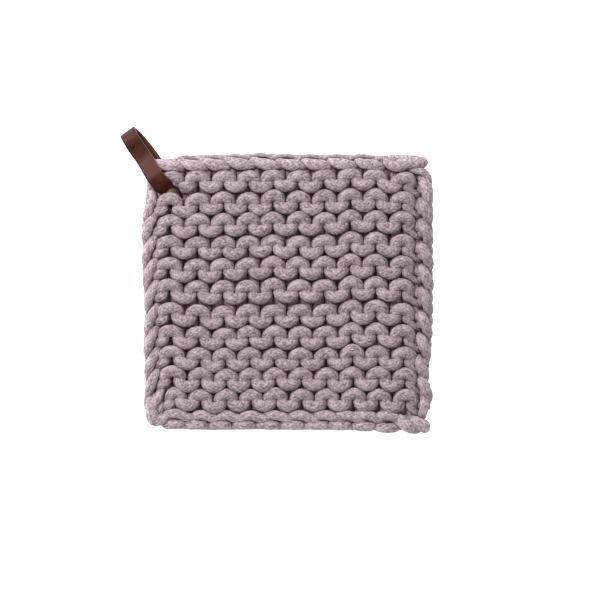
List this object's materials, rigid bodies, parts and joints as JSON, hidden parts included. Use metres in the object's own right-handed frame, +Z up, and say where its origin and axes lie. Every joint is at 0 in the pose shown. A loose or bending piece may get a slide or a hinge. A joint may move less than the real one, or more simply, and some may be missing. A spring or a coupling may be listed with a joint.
{
  "type": "pot holder",
  "caption": "Square garter-stitch pot holder knit from thick heather mauve-grey cotton cord, with a folded leather hanging loop riveted through a corner.",
  "frame": {"origin": "under the middle of the whole outline, on the surface that the pot holder lies on", "axes": "+Z up through the thickness, +Y to the cast-off edge beside the loop, +X to the knit's right side edge"},
  "size_m": [0.2198, 0.2138, 0.0179],
  "materials": {
    "cotton": "matte heather knit",
    "leather": "smooth satin",
    "rivet": "aged satin"
  },
  "bodies": {
    "root": {"knit_panel": "cotton", "leather_loop": "leather", "rivet": "rivet"}
  },
  "joints": []
}
